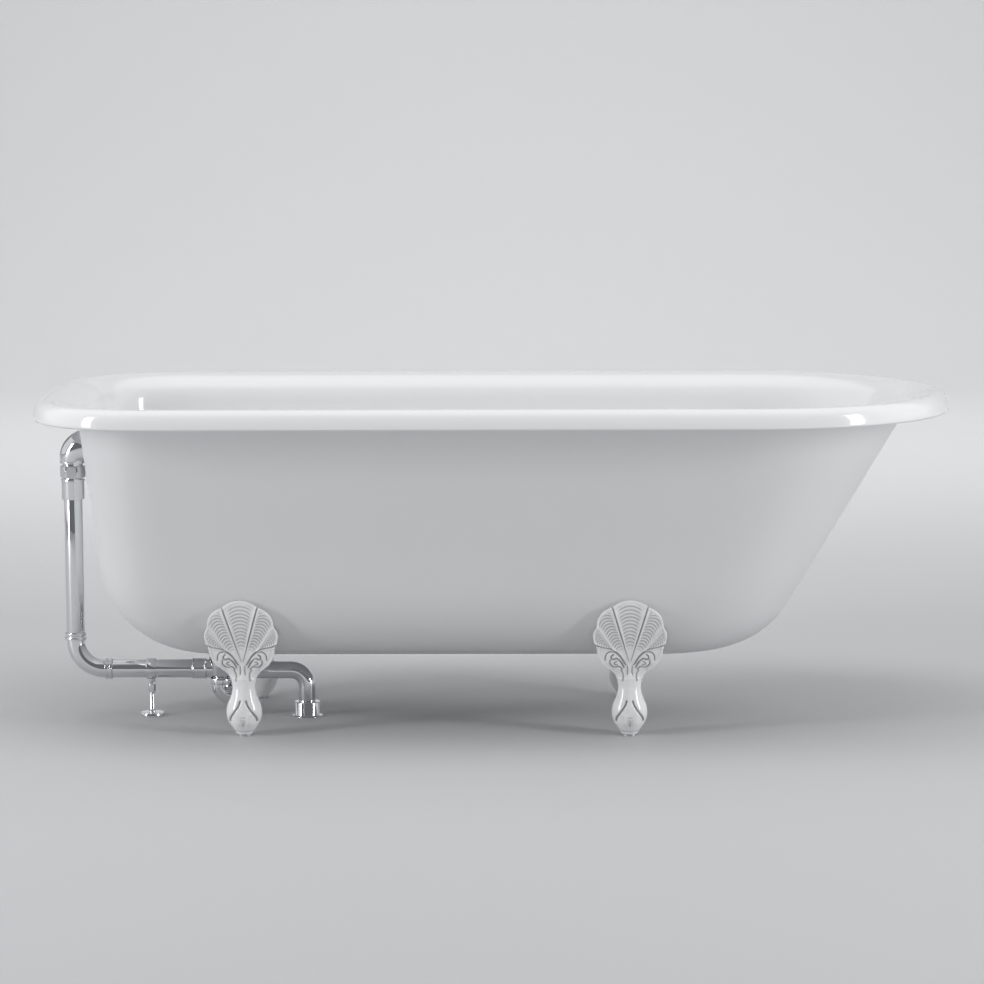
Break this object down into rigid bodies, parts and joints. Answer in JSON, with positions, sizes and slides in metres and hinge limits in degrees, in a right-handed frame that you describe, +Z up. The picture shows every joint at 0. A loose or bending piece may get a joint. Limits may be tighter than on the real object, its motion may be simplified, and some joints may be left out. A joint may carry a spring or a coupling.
{
  "type": "bathtub",
  "caption": "Free-standing roll-top bath on shell-and-claw feet, with its exposed waste and overflow pipes.",
  "frame": {"origin": "on the floor, under the middle of the rim's length and width", "axes": "+X along the bath to the sloping head end, +Y across it to the far side, +Z up"},
  "size_m": [1.6998, 0.75, 0.622],
  "materials": {
    "bath_white": "gloss white cast mineral composite",
    "foot_white": "gloss white paint on cast iron",
    "chrome_plate": "polished chrome plate",
    "plain_brass": "turned brass",
    "zinc_steel": "zinc-plated steel",
    "seal_rubber": "black rubber"
  },
  "bodies": {
    "bath": {"tub_shell": "bath_white", "foot_tap_near": "foot_white", "foot_tap_far": "foot_white", "foot_head_near": "foot_white", "foot_head_far": "foot_white", "foot_bolts": "zinc_steel", "foot_washers": "zinc_steel", "overflow_gasket": "seal_rubber", "overflow_elbow": "chrome_plate", "overflow_grille": "chrome_plate", "overflow_screw": "chrome_plate", "elbow_nut": "chrome_plate", "slip_coupling": "chrome_plate", "pipe_seals": "seal_rubber", "overflow_pipe": "chrome_plate", "lower_union": "chrome_plate", "overflow_bend": "chrome_plate", "bend_union": "chrome_plate", "run_pipe": "chrome_plate", "tee_nut": "chrome_plate", "pipe_clip": "chrome_plate", "clip_screw": "chrome_plate", "stand_stud": "chrome_plate", "waste_flange": "chrome_plate", "waste_upper_seal": "seal_rubber", "waste_lower_seal": "seal_rubber", "waste_back_nut": "plain_brass", "waste_tee": "chrome_plate", "trap_inlet_nut": "chrome_plate", "trap_bend": "chrome_plate", "trap_outlet_nut": "chrome_plate", "outlet_pipe": "chrome_plate"},
    "pad_tap_near": {"level_pad_tap_near": "zinc_steel"},
    "pad_tap_far": {"level_pad_tap_far": "zinc_steel"},
    "pad_head_near": {"level_pad_head_near": "zinc_steel"},
    "pad_head_far": {"level_pad_head_far": "zinc_steel"},
    "plug": {"waste_plug": "chrome_plate", "plug_seal": "seal_rubber"},
    "barrel": {"stand_barrel": "chrome_plate"},
    "stand": {"stand_base": "chrome_plate"},
    "collar": {"floor_collar": "chrome_plate"}
  },
  "joints": [
    {"name": "pad_tap_near_level", "type": "slide", "parent": "bath", "child": "pad_tap_near", "axis": [0, 0, 1], "range_m": [-0.01, 0]},
    {"name": "pad_tap_far_level", "type": "slide", "parent": "bath", "child": "pad_tap_far", "axis": [0, 0, 1], "range_m": [-0.01, 0]},
    {"name": "pad_head_near_level", "type": "slide", "parent": "bath", "child": "pad_head_near", "axis": [0, 0, 1], "range_m": [-0.01, 0]},
    {"name": "pad_head_far_level", "type": "slide", "parent": "bath", "child": "pad_head_far", "axis": [0, 0, 1], "range_m": [-0.01, 0]},
    {"name": "plug_lift", "type": "slide", "parent": "bath", "child": "plug", "axis": [0, 0, 1], "range_m": [0, 0.01]},
    {"name": "stand_barrel_turn", "type": "hinge", "parent": "bath", "child": "barrel", "pos_m": [-0.652, 0, 0.054], "axis": [0, 0, 1], "range_deg": [0, 1440]},
    {"name": "stand_base_rise", "type": "slide", "parent": "bath", "child": "stand", "axis": [0, 0, 1], "range_m": [0, 0.006]},
    {"name": "floor_collar_slide", "type": "slide", "parent": "bath", "child": "collar", "axis": [0, 0, 1], "range_m": [0, 0.02]}
  ],
  "couplings": [
    {"joint": "stand_barrel_turn", "follows": "stand_base_rise", "rad_per_m": 4188.8}
  ]
}
